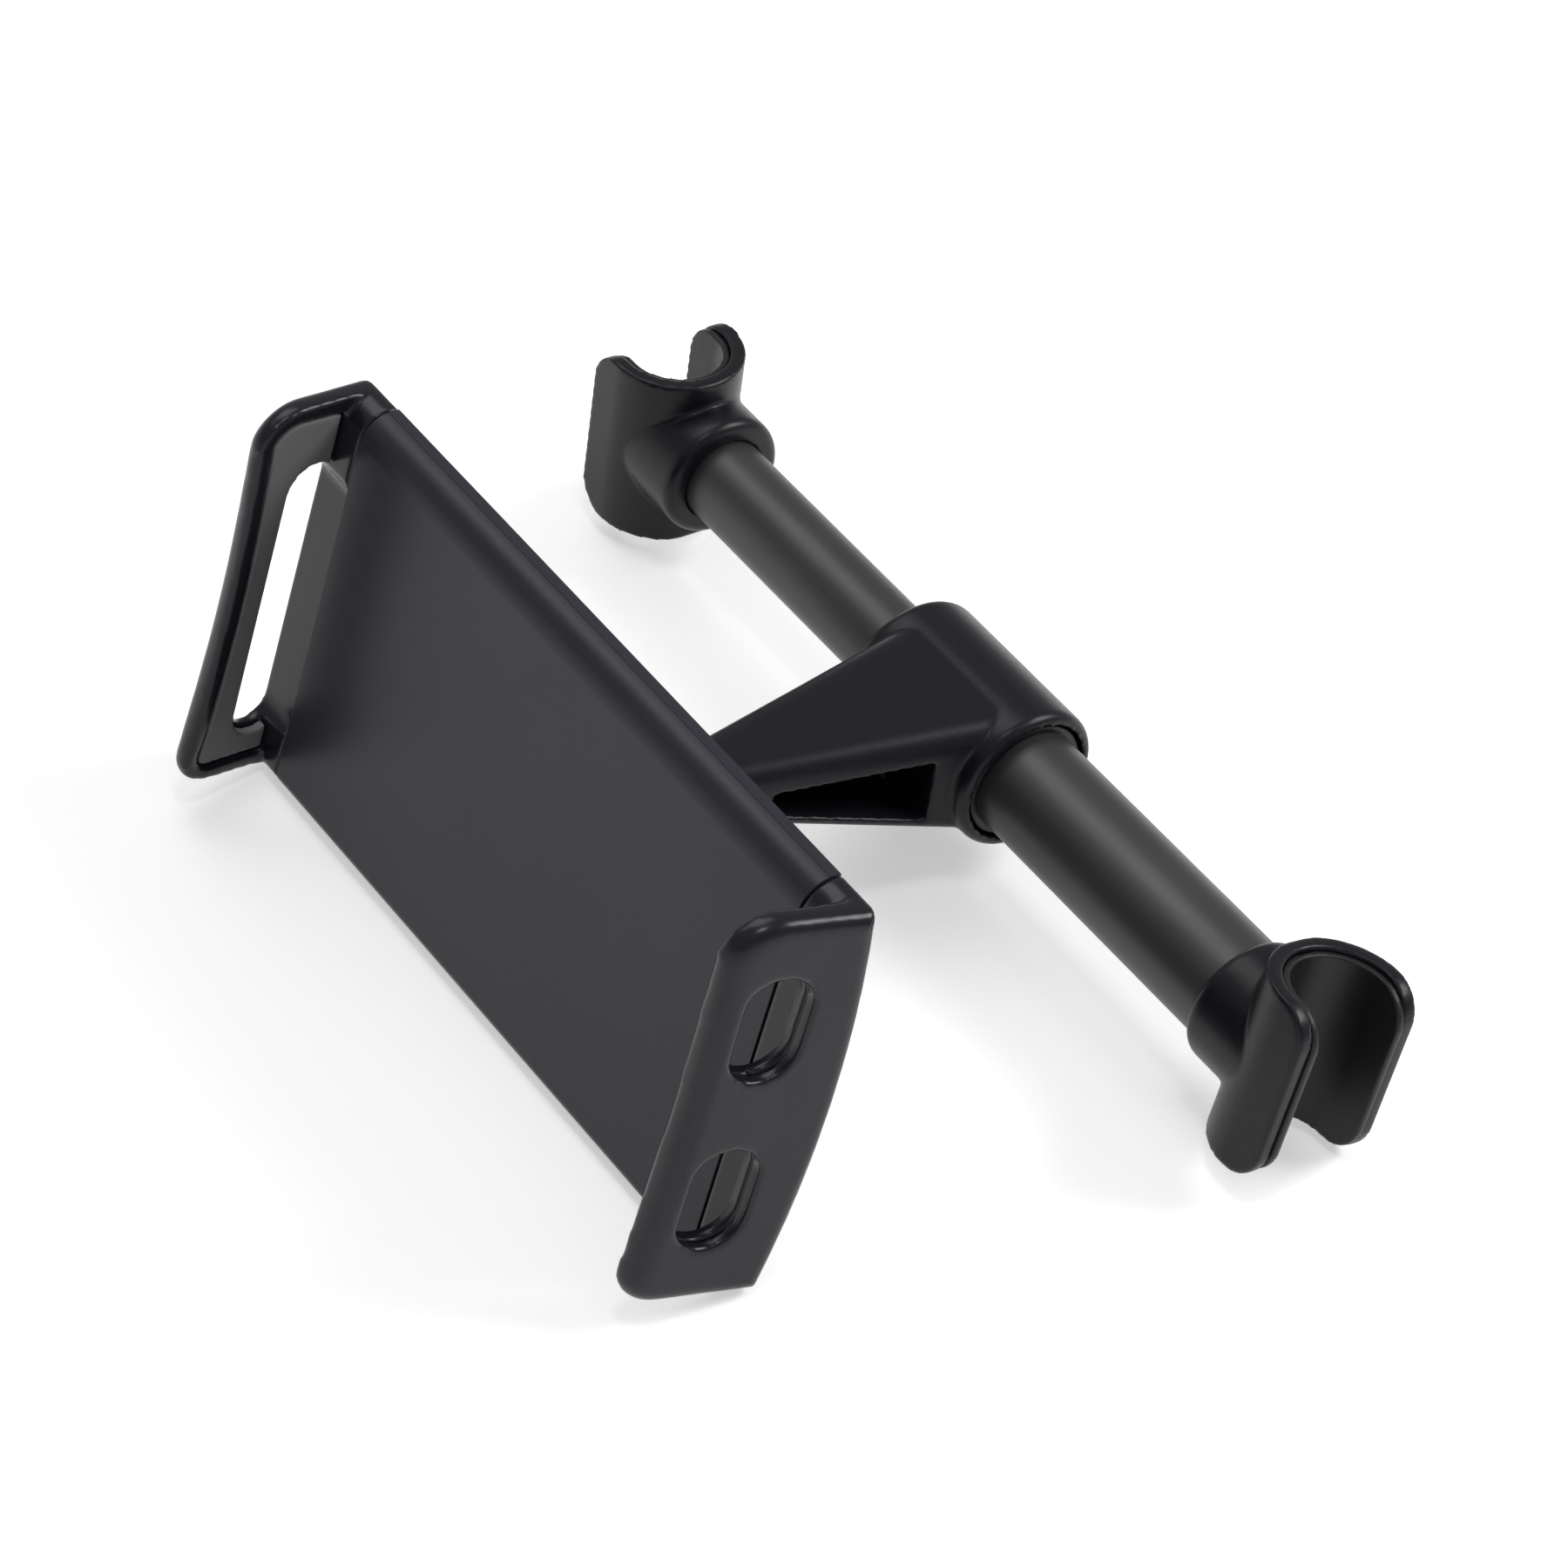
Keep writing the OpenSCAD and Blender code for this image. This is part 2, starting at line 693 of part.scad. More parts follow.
// The four screws that join the shells
module cover_screws() {
    color(steel) at_bosses() union() {
        bar_y(face_y + 1.2, edge_y - 0.9, cover_screw_d - 2 * seat_gap);
        bar_y(edge_y - 0.9, edge_y - 0.1, cover_head_d);
    }
}

// Corners of one tooth pointing along +Y, whose pitch line lies at r
function tooth(r) =
    let (half = tooth_pitch / 4 - backlash / 2, slope = tan(20))
    [[half + dedendum * slope, r - dedendum], [half - addendum * slope, r + addendum],
     [-half + addendum * slope, r + addendum], [-half - dedendum * slope, r - dedendum]];

// The corner p turned about the middle by angle a
function turned(p, a) = [p[0] * cos(a) - p[1] * sin(a), p[0] * sin(a) + p[1] * cos(a)];

// Pinion between the two racks
module pinion() {
    color(nylon) translate([0, rack_y + rack_t / 2, head_z]) rotate([90, 0, 0]) difference() {
        linear_extrude(rack_t) polygon([for (i = [0:pinion_teeth - 1]) for (p = tooth(pitch_r))
            turned(p, i * 360 / pinion_teeth)]);
        translate([0, 0, -1]) cylinder(h = rack_t + 2, d = pin_d + 2 * run_gap);
    }
}

// Outline of the right jaw, in (y, z): crowned back, hollowed front, drawn inwards by inset
module jaw_outline(inset) {
    difference() {
        jaw_convex(inset);
        translate([hollow_y, head_z]) circle(hollow_r + inset, $fn = 360);
    }
}

// The same outline without the hollow
module jaw_convex(inset) {
    h = head_h / 2 - inset;
    intersection() {
        rounded_box([jaw_front_y + inset, head_z - h], [crown_y - inset, head_z + h],
                    [max(jaw_low_r - inset, 0.2), 0.2, 0.2, max(jaw_top_r - inset, 0.2)]);
        translate([crown_y - crown_radius, head_z]) circle(crown_radius - inset, $fn = 180);
    }
}

// How far the rounded outer edge lies outwards and inwards at step k
function edge_out(k) = edge_round * sin(90 * k / edge_steps);
function edge_in(k) = edge_round * (1 - cos(90 * k / edge_steps));

// Shifts what is drawn for an upright jaw inwards with its depth
module leaning() {
    multmatrix([[1, jaw_lean, 0, -jaw_lean * edge_y], [0, 1, 0, 0], [0, 0, 1, 0]]) children();
}

// Outer part of the right jaw, from the lip's edge outwards, with rounded outer edges
module jaw_block() {
    x0 = head_w / 2 - edge_round;
    difference() {
        hull() leaning() {
            along_x(lip_x, x0) jaw_convex(block_step);
            for (k = [1:edge_steps])
                along_x(x0 + edge_out(k) - eps, x0 + edge_out(k)) jaw_convex(edge_in(k) + block_step);
        }
        translate([x0 - front_lean, hollow_y, head_z]) rotate([0, 90, 0])
            rotate_extrude($fn = 360)
                polygon([[0, -lip_h], [hollow_r, -lip_h],
                         for (k = [0:edge_steps]) [hollow_r + edge_in(k), edge_out(k)],
                         [hollow_r + edge_round, edge_round + 1], [0, edge_round + 1]]);
    }
}

// Room between two leaning planes of the right jaw, from x0 to x1 at the head's edge
module leaning_slab(x0, x1) {
    back = face_y + jaw_depth;
    front = jaw_front_y - 1;
    at = function(x, y) [x + jaw_lean * (y - edge_y), y];
    translate([0, 0, head_z - head_h]) linear_extrude(2 * head_h)
        polygon([at(x0, front), at(x1, front), at(x1, back), at(x0, back)]);
}

// Both bars of the right jaw: a rack below the pinion and a plain bar above it
module jaw_bars() {
    translate([0, 0, head_z]) along_y(rack_y - rack_t / 2, rack_y + rack_t / 2) {
        mirror([0, 1]) rack_side();
        translate([guide_tip_x, guide_bar_z - guide_bar_h / 2])
            square([pad_x - guide_tip_x, guide_bar_h]);
    }
}

// Rack drawn above the pinion, with a gap between two teeth over the pinion's axis
module rack_side() {
    first = -floor(rack_tip_x / tooth_pitch);
    polygon([[pad_x, rack_back_z], [-rack_tip_x, rack_back_z], [-rack_tip_x, rack_back_z - rack_back],
             for (i = [first:1]) for (k = [3:-1:0]) let (p = tooth(pitch_r)[k])
                 [p[0] + (i + 0.5) * tooth_pitch, 2 * pitch_r - p[1]],
             [pad_x, rack_back_z - rack_back]]);
}

// Lug on the tip of the right jaw's plain bar, which a spring can pull
module spring_lug() {
    z0 = rack_back_z + 0.9;
    translate([0, 0, head_z]) along_y(rack_y - rack_t / 2, rack_y + rack_t / 2)
        translate([guide_tip_x, z0]) square([lug_t, guide_bar_z - z0]);
}

// Right jaw without its bars, with the openings given as children in (y, z)
module jaw_body() {
    difference() {
        union() {
            along_x(seam_x + side_gap / 2, pad_x) head_section(block_step);
            jaw_block();
        }
        intersection() {
            leaning_slab(lip_x - 1, pad_x);
            in_front(seam_x, head_w / 2, lip_w);
        }
        along_x(seam_x + side_gap, head_w / 2 + 1) children();
    }
}

// The jaw's outline in front of the panel's face, inwards by inset, from x0 to x1
module in_front(x0, x1, inset) {
    along_x(x0, x1) difference() {
        jaw_outline(inset);
        translate([face_y, head_z - head_h]) square(2 * head_h);
    }
}

// Rounded opening about a height z from the head's middle, in (y, z), widened by grow
module jaw_opening(z, w, l, grow, y1 = face_y - 0.3) {
    r = w / 2 + grow - eps;
    translate([y1 - w - grow, head_z + z - l / 2 - grow])
        rounded_box([0, 0], [w + 2 * grow, l + 2 * grow], [r, r, r, r]);
}

module left_opening(grow = 0) {
    jaw_opening(-opening_drop, opening_w, opening_l, grow, face_y + opening_sink);
}
module right_openings(grow = 0) {
    for (s = [-1, 1]) jaw_opening(s * slot_pitch / 2, slot_w, slot_l, grow);
}

// Left jaw, whose rack lies above the pinion
module jaw_left() {
    color(head_black) union() {
        mirror([1, 0, 0]) jaw_body() left_opening();
        half_turn() {
            jaw_bars();
            spring_lug();
        }
    }
}

// Right jaw, whose rack lies below the pinion
module jaw_right() {
    color(head_black) union() {
        jaw_body() right_openings();
        jaw_bars();
    }
}

// Soft pad inside the lip of a jaw, round the openings given as children
module jaw_pad() {
    color(pad_grey) intersection() {
        leaning_slab(pad_x - pad_t, pad_x);
        along_x(seam_x, head_w / 2) difference() {
            jaw_outline(lip_w + 0.4);
            translate([face_y - side_gap, head_z - head_h]) square(2 * head_h);
            children();
        }
    }
}

module jaw_pad_left() { mirror([1, 0, 0]) jaw_pad() left_opening(0.6); }
module jaw_pads_right() { jaw_pad() right_openings(0.6); }

// Spring that pulls the left jaw inwards, from the post on the back cover
module jaw_spring() {
    color(steel) translate([0, rack_y, head_z - spring_z])
        coil(-guide_tip_x, guide_tip_x - spring_post_d / 2, jaw_spring_d - jaw_wire, jaw_wire,
             jaw_turns);
}

outer_tube();
inner_tube();
guide_bush();
slide_plug();
bar_spring();
tube_plug_right();
tube_plug_left();
hook_right();
hook_left();
hook_liner_right();
hook_liner_left();
hook_screw_right();
hook_screw_left();
hub_arm();
hub_bush();
hub_stop_ring();
ball_stud();
ball_seat_inner();
ball_seat_outer();
clamp_nut();
back_cover();
front_plate();
cover_screws();
pinion();
jaw_spring();
jaw_left();
jaw_right();
jaw_pad_left();
jaw_pads_right();
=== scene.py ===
"""Looks of the headrest holder: moulded edges, finishes, light and camera."""
import json
import math

import bmesh
import bpy
from mathutils import Matrix, Vector


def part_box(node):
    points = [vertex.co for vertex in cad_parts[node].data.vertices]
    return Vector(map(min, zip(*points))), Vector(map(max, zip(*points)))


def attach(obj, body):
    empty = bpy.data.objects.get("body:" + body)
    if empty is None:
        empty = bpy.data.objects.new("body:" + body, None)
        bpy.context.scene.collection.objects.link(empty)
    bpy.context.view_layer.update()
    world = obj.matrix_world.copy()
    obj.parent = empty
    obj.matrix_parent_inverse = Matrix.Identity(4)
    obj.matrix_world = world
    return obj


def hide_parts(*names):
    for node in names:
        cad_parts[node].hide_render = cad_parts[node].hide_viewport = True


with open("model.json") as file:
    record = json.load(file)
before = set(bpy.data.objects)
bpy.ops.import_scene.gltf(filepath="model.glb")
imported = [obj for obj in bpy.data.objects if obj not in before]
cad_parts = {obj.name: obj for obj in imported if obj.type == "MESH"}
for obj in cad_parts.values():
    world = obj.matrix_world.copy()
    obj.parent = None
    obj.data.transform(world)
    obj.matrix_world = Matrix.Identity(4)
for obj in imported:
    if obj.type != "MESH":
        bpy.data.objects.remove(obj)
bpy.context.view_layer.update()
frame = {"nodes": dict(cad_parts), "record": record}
MM = 0.001


# ---------------------------------------------------------------- node helpers
def added(tree, kind, **values):
    """A new node, with the inputs that are given by name, _ standing for a space."""
    node = tree.nodes.new(kind)
    for label, value in values.items():
        node.inputs[label.replace("_", " ")].default_value = value
    return node


def number(tree, operation, first, second):
    """The result of a Math node on two sockets or numbers."""
    node = tree.nodes.new("ShaderNodeMath")
    node.operation = operation
    for socket, value in zip(node.inputs, (first, second)):
        if isinstance(value, (int, float)):
            socket.default_value = value
        else:
            tree.links.new(value, socket)
    return node.outputs[0]


def ramp(tree, value, start, end, low, high, smooth=False):
    """Low where the value is start or less, high where it is end or more."""
    node = added(tree, "ShaderNodeMapRange", From_Min=start, From_Max=end, To_Min=low,
                 To_Max=high)
    node.interpolation_type = "SMOOTHSTEP" if smooth else "LINEAR"
    tree.links.new(value, node.inputs["Value"])
    return node.outputs["Result"]


def seen(tree, mirrored=1.0):
    """1 for a ray from the camera or a clear piece, mirrored for a glossy one, 0 for others."""
    ray = tree.nodes.new("ShaderNodeLightPath")
    glossy = number(tree, "MULTIPLY", ray.outputs["Is Glossy Ray"], mirrored)
    shown = number(tree, "MAXIMUM", ray.outputs["Is Camera Ray"], glossy)
    return number(tree, "MAXIMUM", shown, ray.outputs["Is Transmission Ray"])


# ---------------------------------------------------------------- materials
CLOUD_SCALE = 28      # of the slow change of colour, about 36 mm across
CLOUD_DETAIL = 3
GRAIN_DETAIL = 2
GRAIN_DEPTH = 0.02 * MM


def material(name, color, rough, rough_vary=0.05, vary=0.15, grain=900.0, bump=0.06,
             metallic=0.0, specular=0.5, streak=(1, 1, 1)):
    """A finish with slight colour and roughness variation and a fine surface grain."""
    mat = bpy.data.materials.new(name)
    mat.use_nodes = True
    tree = mat.node_tree
    link = tree.links.new
    shader = tree.nodes["Principled BSDF"]
    shader.inputs["Metallic"].default_value = metallic
    shader.inputs["Specular IOR Level"].default_value = specular
    place = tree.nodes.new("ShaderNodeTexCoord").outputs["Object"]

    cloud = added(tree, "ShaderNodeTexNoise", Scale=CLOUD_SCALE, Detail=CLOUD_DETAIL)
    link(place, cloud.inputs["Vector"])
    tint = tree.nodes.new("ShaderNodeMix")
    tint.data_type = "RGBA"
    tint.inputs["A"].default_value = (*[c * (1 - vary) for c in color], 1)
    tint.inputs["B"].default_value = (*[min(1, c * (1 + vary)) for c in color], 1)
    link(cloud.outputs["Fac"], tint.inputs["Factor"])
    link(tint.outputs["Result"], shader.inputs["Base Color"])

    stretch = added(tree, "ShaderNodeMapping", Scale=streak)
    link(place, stretch.inputs["Vector"])
    fine = added(tree, "ShaderNodeTexNoise", Scale=grain, Detail=GRAIN_DETAIL)
    link(stretch.outputs["Vector"], fine.inputs["Vector"])
    sheen = ramp(tree, fine.outputs["Fac"], 0, 1, rough - rough_vary, rough + rough_vary)
    link(sheen, shader.inputs["Roughness"])
    relief = added(tree, "ShaderNodeBump", Strength=bump, Distance=GRAIN_DEPTH)
    link(fine.outputs["Fac"], relief.inputs["Height"])
    link(relief.outputs["Normal"], shader.inputs["Normal"])
    return mat


HEAD = material("head plastic", (0.0270, 0.0250, 0.0340), 0.34, specular=0.24)
JAW = material("jaw plastic", (0.0115, 0.0100, 0.0155), 0.25, specular=0.30)
HOOK = material("hook plastic", (0.0062, 0.0054, 0.0088), 0.34, specular=0.26)
ARM = material("arm plastic", (0.0068, 0.0058, 0.0095), 0.34, specular=0.24)
LINER = material("liner rubber", (0.0068, 0.0066, 0.0080), 0.44, specular=0.35, grain=600.0)
PAD = material("pad rubber", (0.160, 0.160, 0.163), 0.60, specular=0.3, grain=1400.0,
               bump=0.15)
TUBE = material("anodised tube", (0.066, 0.066, 0.066), 0.42, rough_vary=0.03, metallic=0.60,
                streak=(0.08, 1, 1), grain=1500.0, bump=0.05)
STEEL = material("polished steel", (0.55, 0.55, 0.57), 0.18, metallic=1.0, bump=0.02)
SCREW = material("screw steel", (0.40, 0.40, 0.42), 0.33, metallic=1.0)
NYLON = material("inner nylon", (0.45, 0.43, 0.38), 0.5)

FINISH = {
    "outer_tube": TUBE, "inner_tube": TUBE, "guide_bush": LINER, "slide_plug": NYLON,
    "bar_spring": SCREW, "tube_plug_right": NYLON, "tube_plug_left": NYLON,
    "hook_right": HOOK, "hook_left": HOOK, "hook_liner_right": LINER, "hook_liner_left": LINER,
    "hook_screw_right": SCREW, "hook_screw_left": SCREW, "hub_arm": ARM, "hub_bush": LINER,
    "hub_stop_ring": HOOK, "ball_stud": STEEL, "ball_seat_inner": NYLON,
    "ball_seat_outer": NYLON, "clamp_nut": ARM, "back_cover": HEAD, "front_plate": HEAD,
    "cover_screws": SCREW, "pinion": NYLON, "jaw_spring": SCREW, "jaw_left": JAW,
    "jaw_right": JAW, "jaw_pad_left": PAD, "jaw_pads_right": PAD,
}
BODY = {node: body for body, held in frame["record"]["behaviour"]["bodies"].items()
        for node in held}


def paint(obj, mat):
    """Gives every slot of an object one material, on the object and not on its mesh."""
    if not obj.material_slots:
        obj.data.materials.append(mat)
    for entry in obj.material_slots:
        entry.link = "OBJECT"
        entry.material = mat


for piece, finish in FINISH.items():
    paint(frame["nodes"][piece], finish)


# ---------------------------------------------------------------- moulded pieces
NEAR = 0.02 * MM                      # two heights closer than this are one
MERGE = 1e-7
FLAT_ANGLE = math.radians(0.1)        # triangles of one flat face
ROUNDED_ANGLE = math.radians(40)      # edges from this angle on get rounded
SHARP_ANGLE = math.radians(38)        # edges from this angle on stay sharp in the shading


def placed(name, mesh):
    """A new object at the origin, in the scene."""
    obj = bpy.data.objects.new(name, mesh)
    bpy.context.scene.collection.objects.link(obj)
    return obj


def merged_copy(node, name):
    """A new object with the CAD node's triangles joined into one closed surface."""
    mesh = frame["nodes"][node].data.copy()
    mesh.name = name
    build = bmesh.new()
    build.from_mesh(mesh)
    bmesh.ops.remove_doubles(build, verts=build.verts, dist=MERGE)
    build.to_mesh(mesh)
    build.free()
    return placed(name, mesh)


def apply_modifiers(obj):
    """Replaces the object's mesh by what its modifiers make of it."""
    graph = bpy.context.evaluated_depsgraph_get()
    made = bpy.data.meshes.new_from_object(obj.evaluated_get(graph))
    old = obj.data
    obj.modifiers.clear()
    obj.data = made
    bpy.data.meshes.remove(old)


def stands_for(obj, node):
    """Lets a finished piece take a CAD node's place, body, slot and finish."""
    obj.data.materials.clear()
    obj.data.materials.append(FINISH[node])
    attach(obj, BODY[node])
    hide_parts(node)


def relax(obj, passes, weight=None):
    """Smooths a mesh, by as much as weight gives for each point where it is stated."""
    smooth = obj.modifiers.new("relax", "SMOOTH")
    smooth.factor = 0.5
    smooth.iterations = passes
    if weight:
        group = obj.vertex_groups.new(name="relaxed")
        for vert in obj.data.vertices:
            share = min(1, weight(vert.co))
            if share > 0:
                group.add([vert.index], share, "REPLACE")
        smooth.vertex_group = group.name
    apply_modifiers(obj)


def remeshed(node, voxel, passes):
    """A copy of a CAD node whose edges and inner corners are rounded as in a moulding."""
    obj = merged_copy(node, node + "_moulded")
    grid = obj.modifiers.new("grid", "REMESH")
    grid.mode = "VOXEL"
    grid.voxel_size = voxel * MM
    apply_modifiers(obj)
    relax(obj, passes)
    obj.data.shade_smooth()
    return obj


def softened(node, voxel, passes):
    """Replaces a CAD node by its copy with moulded edges."""
    stands_for(remeshed(node, voxel, passes), node)


def eased(node, width, reshape=None, kept_y=None):
    """Replaces a node by a copy with small round edges, apart from those in the plane kept_y."""
    obj = merged_copy(node, node + "_eased")
    if reshape:
        for vert in obj.data.vertices:
            vert.co = reshape(vert.co)
    build = bmesh.new()
    build.from_mesh(obj.data)
    bmesh.ops.dissolve_limit(build, angle_limit=FLAT_ANGLE, verts=build.verts,
                             edges=build.edges)
    rounded = [edge for edge in build.edges
               if len(edge.link_faces) == 2 and edge.calc_face_angle() > ROUNDED_ANGLE
               and not (kept_y and all(abs(v.co.y - kept_y) < NEAR for v in edge.verts))]
    bmesh.ops.bevel(build, geom=rounded, offset=width * MM, segments=2, profile=0.5,
                    affect="EDGES", clamp_overlap=True)
    for face in build.faces:
        face.smooth = True
    for edge in build.edges:
        edge.smooth = len(edge.link_faces) == 2 and edge.calc_face_angle() < SHARP_ANGLE
    build.to_mesh(obj.data)
    build.free()
    even = obj.modifiers.new("even", "WEIGHTED_NORMAL")
    even.keep_sharp = True
    apply_modifiers(obj)
    stands_for(obj, node)


for side in ("left", "right"):
    softened("hook_" + side, 0.40, 6)
    softened("hook_liner_" + side, 0.35, 3)
softened("hub_arm", 0.45, 6)
softened("jaw_pad_left", 0.32, 4)
softened("jaw_pads_right", 0.32, 4)

# Jaws: a rounder lip in front of the panel, most of all at its pointed front corners.
# Each corner is a point on the right jaw with the reach of its rounding.
PANEL_FACE = -92.1 * MM
LIP_CORNERS = [(Vector((68.6, -109.3, 27.8)) * MM, 12 * MM),
               (Vector((69, -109.5, -37)) * MM, 9 * MM)]
LIP_PASSES = 12
CORNER_PASSES = 90
BLEND_PASSES = 40
BLEND_SPREAD = 2.2
LIP_GROWTH = 0.15 * MM    # makes up for what the smoothing takes off the lip


def lip_share(co):
    """0 up to 0.5 mm in front of the panel's face, and 1 more for each 2 mm from there."""
    return max(0, (PANEL_FACE - co.y) / MM - 0.5) / 2


def corner_share(co, spread=1.0):
    """1 at a front corner of the lip, 0 outside its reach times the spread."""
    spot = Vector((abs(co.x), co.y, co.z))
    near = max(1 - (spot - point).length / (reach * spread) for point, reach in LIP_CORNERS)
    return max(0, near) ** 1.5


def blend_share(co):
    """The same over a wider reach, to blend the corner into the lip."""
    return corner_share(co, BLEND_SPREAD)


for side in ("left", "right"):
    jaw = remeshed("jaw_" + side, 0.45, 4)
    relax(jaw, LIP_PASSES, lip_share)
    relax(jaw, CORNER_PASSES, corner_share)
    relax(jaw, BLEND_PASSES, blend_share)
    jaw.data.update()
    normals = [vert.normal.copy() for vert in jaw.data.vertices]
    for vert, normal in zip(jaw.data.vertices, normals):
        normal.z = 0    # the jaw keeps its height
        vert.co += LIP_GROWTH * min(1, lip_share(vert.co) / 5) * normal
    jaw.data.update()
    jaw.data.shade_smooth()
    stands_for(jaw, "jaw_" + side)

# Head: the panel's rim meets the back cover, and its ends stand close to the jaws
PLATE_END = 64.85 * MM
PLATE_RIM = -87.85 * MM
COVER_RIM = -87.55 * MM
MEETING_RIM = COVER_RIM - 0.01 * MM
END_GROWTH = 0.08 * MM


def closer(co):
    """Moves the head's ends outwards and the panel's rim back to the cover's."""
    x, y, z = co
    if abs(x) > PLATE_END - NEAR:
        x += math.copysign(END_GROWTH, x)
    if abs(y - PLATE_RIM) < NEAR:
        y = MEETING_RIM
    return Vector((x, y, z))


eased("front_plate", 0.30, closer, MEETING_RIM)
eased("back_cover", 0.30, closer, COVER_RIM)
eased("clamp_nut", 0.3)


# ---------------------------------------------------------------- repeated pieces
def tree_with(name, inputs):
    """A Geometry Nodes tree with named number inputs; gives it, its input and its output."""
    tree = bpy.data.node_groups.new(name, "GeometryNodeTree")
    for label, value in inputs.items():
        socket = tree.interface.new_socket(label, in_out="INPUT",
                                           socket_type="NodeSocketFloat")
        socket.default_value = value
    tree.interface.new_socket("Geometry", in_out="OUTPUT", socket_type="NodeSocketGeometry")
    return tree, tree.nodes.new("NodeGroupInput"), tree.nodes.new("NodeGroupOutput")


def ended(tree, geometry, mat, result):
    """Ends a tree with real geometry in one material."""
    real = tree.nodes.new("GeometryNodeRealizeInstances")
    finish = added(tree, "GeometryNodeSetMaterial", Material=mat)
    tree.links.new(geometry, real.inputs[0])
    tree.links.new(real.outputs[0], finish.inputs["Geometry"])
    tree.links.new(finish.outputs["Geometry"], result.inputs["Geometry"])


def grown(tree, name, place):
    """The plain mesh that a tree makes, moved by place, in an object at the origin."""
    obj = placed(name, bpy.data.meshes.new(name))
    grow = obj.modifiers.new("grow", "NODES")
    grow.node_group = tree
    apply_modifiers(obj)
    obj.data.transform(place)
    build = bmesh.new()
    build.from_mesh(obj.data)
    bmesh.ops.remove_doubles(build, verts=build.verts, dist=1e-6)
    bmesh.ops.recalc_face_normals(build, faces=build.faces)
    build.to_mesh(obj.data)
    build.free()
    return obj


RIM_WALL = 0.5
RIM_DEPTH = 2.3
RIM_END_STEPS = 14
SCREW_HEAD_H = 0.8
SCREW_SIDES = 40
RECESS_LIFT = 0.85        # middle of the recess, as a share of the head's height
SHANK_DROP = -0.499       # middle of the shank, whose upper end stands a little in the head


def slot_rim_tree():
    """A moulded rim that follows a slot with round ends, drawn in the tree's XY plane."""
    tree, given, result = tree_with("slot rim", {
        "Slot Width": 12 * MM, "Slot Length": 20 * MM, "Rim Wall": RIM_WALL * MM,
        "Rim Depth": RIM_DEPTH * MM})
    new, link = tree.nodes.new, tree.links.new
    width, long, wall, depth = given.outputs[:4]
    path = new("GeometryNodeCurvePrimitiveQuadrilateral")
    link(number(tree, "ADD", width, wall), path.inputs["Width"])
    link(number(tree, "ADD", long, wall), path.inputs["Height"])
    ends = new("GeometryNodeFilletCurve")
    ends.mode = "POLY"
    ends.inputs["Count"].default_value = RIM_END_STEPS
    ends.inputs["Limit Radius"].default_value = True
    link(path.outputs["Curve"], ends.inputs["Curve"])
    link(width, ends.inputs["Radius"])
    section = new("GeometryNodeCurvePrimitiveQuadrilateral")
    link(wall, section.inputs["Width"])
    link(depth, section.inputs["Height"])
    sweep = new("GeometryNodeCurveToMesh")
    link(ends.outputs["Curve"], sweep.inputs["Curve"])
    link(section.outputs["Curve"], sweep.inputs["Profile Curve"])
    ended(tree, sweep.outputs["Mesh"], JAW, result)
    return tree


def cover_screw_tree():
    """Four screws with a cross recess at the corners of a rectangle, heads towards +Z."""
    tree, given, result = tree_with("cover screws", {
        "Spacing X": 100 * MM, "Spacing Y": 64 * MM, "Head Diameter": 3.4 * MM,
        "Head Height": SCREW_HEAD_H * MM, "Shank Diameter": 1.9 * MM,
        "Shank Length": 4.5 * MM, "Recess Width": 0.42 * MM, "Recess Length": 2.1 * MM})
    new, link = tree.nodes.new, tree.links.new
    spacing_x, spacing_y, head_d, head_h, shank_d, shank_l, cut_w, cut_l = given.outputs[:8]

    def moved(mesh, height):
        shift = new("GeometryNodeTransform")
        lift = new("ShaderNodeCombineXYZ")
        link(height, lift.inputs["Z"])
        link(mesh, shift.inputs["Geometry"])
        link(lift.outputs[0], shift.inputs["Translation"])
        return shift.outputs["Geometry"]

    def rod(diameter, height, middle):
        bar = added(tree, "GeometryNodeMeshCylinder", Vertices=SCREW_SIDES)
        link(number(tree, "MULTIPLY", diameter, 0.5), bar.inputs["Radius"])
        link(height, bar.inputs["Depth"])
        return moved(bar.outputs["Mesh"], middle)

    def recess_arm(along_x, middle):
        block = new("GeometryNodeMeshCube")
        size = new("ShaderNodeCombineXYZ")
        link(cut_l if along_x else cut_w, size.inputs["X"])
        link(cut_w if along_x else cut_l, size.inputs["Y"])
        link(head_h, size.inputs["Z"])
        link(size.outputs[0], block.inputs["Size"])
        return moved(block.outputs["Mesh"], middle)

    cross = new("GeometryNodeMeshBoolean")
    cross.operation = "DIFFERENCE"
    link(rod(head_d, head_h, number(tree, "MULTIPLY", head_h, 0.5)), cross.inputs["Mesh 1"])
    for along_x in (True, False):
        link(recess_arm(along_x, number(tree, "MULTIPLY", head_h, RECESS_LIFT)),
             cross.inputs["Mesh 2"])
    screw = new("GeometryNodeJoinGeometry")
    link(cross.outputs["Mesh"], screw.inputs[0])
    link(rod(shank_d, shank_l, number(tree, "MULTIPLY", shank_l, SHANK_DROP)),
         screw.inputs[0])
    corners = added(tree, "GeometryNodeMeshGrid", Vertices_X=2, Vertices_Y=2)
    link(spacing_x, corners.inputs["Size X"])
    link(spacing_y, corners.inputs["Size Y"])
    copies = new("GeometryNodeInstanceOnPoints")
    link(corners.outputs["Mesh"], copies.inputs["Points"])
    link(screw.outputs[0], copies.inputs["Instance"])
    ended(tree, copies.outputs[0], SCREW, result)
    return tree


